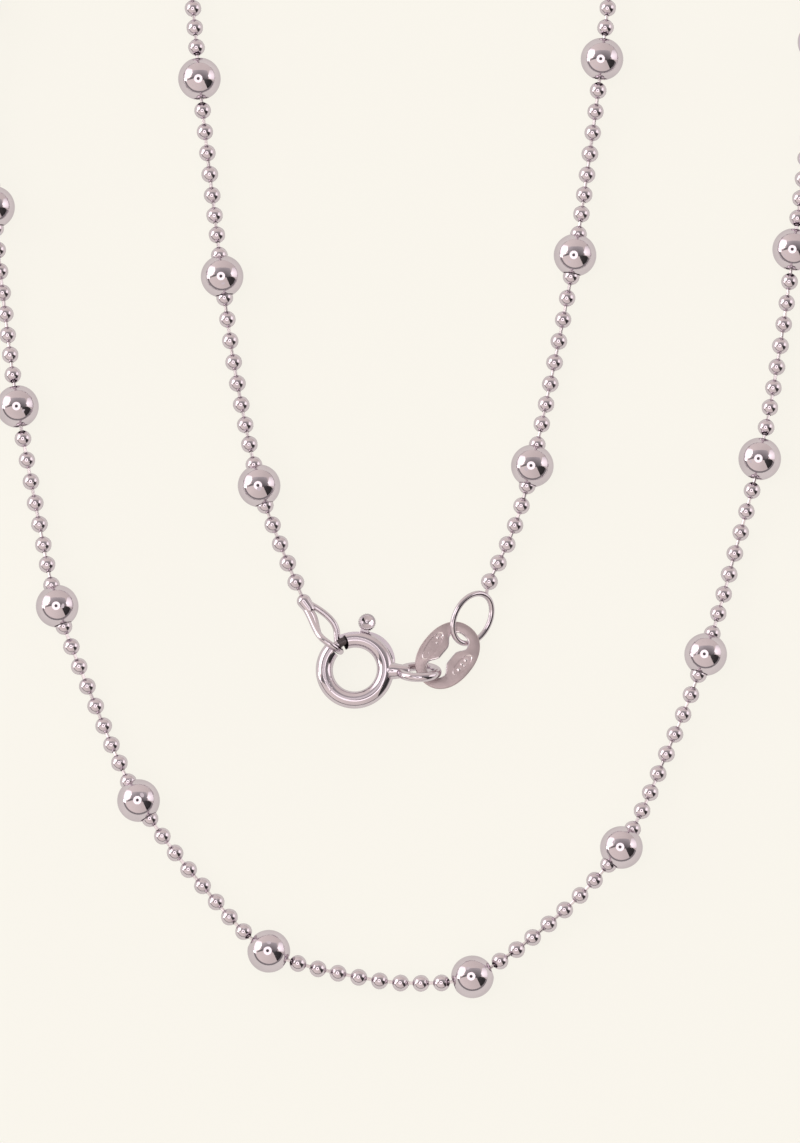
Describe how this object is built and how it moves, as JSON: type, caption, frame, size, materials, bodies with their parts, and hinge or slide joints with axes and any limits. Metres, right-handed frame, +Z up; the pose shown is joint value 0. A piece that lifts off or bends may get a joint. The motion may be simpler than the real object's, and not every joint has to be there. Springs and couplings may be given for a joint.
{
  "type": "ball chain necklace",
  "caption": "Fine ball chain threaded through larger round station beads, closed by a sprung ring clasp, an oval tag link and an oval jump ring.",
  "frame": {"origin": "middle of the necklace's footprint, on the surface that it lies on", "axes": "+Z up from the surface, +Y away from the clasp and the front of the chain, +X to the right"},
  "size_m": [0.063, 0.1008, 0.003],
  "materials": {
    "polished_silver": "polished, plated white",
    "satin_plate": "satin, stamped"
  },
  "bodies": {
    "necklace": {"station_bead_01": "polished_silver", "station_bead_02": "polished_silver", "station_bead_03": "polished_silver", "station_bead_04": "polished_silver", "station_bead_05": "polished_silver", "station_bead_06": "polished_silver", "station_bead_07": "polished_silver", "station_bead_08": "polished_silver", "station_bead_09": "polished_silver", "station_bead_10": "polished_silver", "station_bead_11": "polished_silver", "station_bead_12": "polished_silver", "station_bead_13": "polished_silver", "station_bead_14": "polished_silver", "station_bead_15": "polished_silver", "station_bead_16": "polished_silver", "station_bead_17": "polished_silver", "station_bead_18": "polished_silver", "station_bead_19": "polished_silver", "station_bead_20": "polished_silver", "station_bead_21": "polished_silver", "station_bead_22": "polished_silver", "station_bead_23": "polished_silver", "station_bead_24": "polished_silver", "station_bead_25": "polished_silver", "station_bead_26": "polished_silver", "ball_chain": "polished_silver", "link_wire": "polished_silver", "end_loop": "polished_silver", "spring_ring": "polished_silver", "tag_link": "satin_plate", "jump_ring": "polished_silver"},
    "trigger": {"trigger": "polished_silver"}
  },
  "joints": [
    {"name": "trigger_slide", "type": "hinge", "parent": "necklace", "child": "trigger", "pos_m": [-0.0033, -0.0272, 0.00098], "axis": [0.1102, 0, -0.9939], "range_deg": [0, 35], "stiffness_Nm_per_rad": 0.0005, "springref_deg": -17.19}
  ]
}
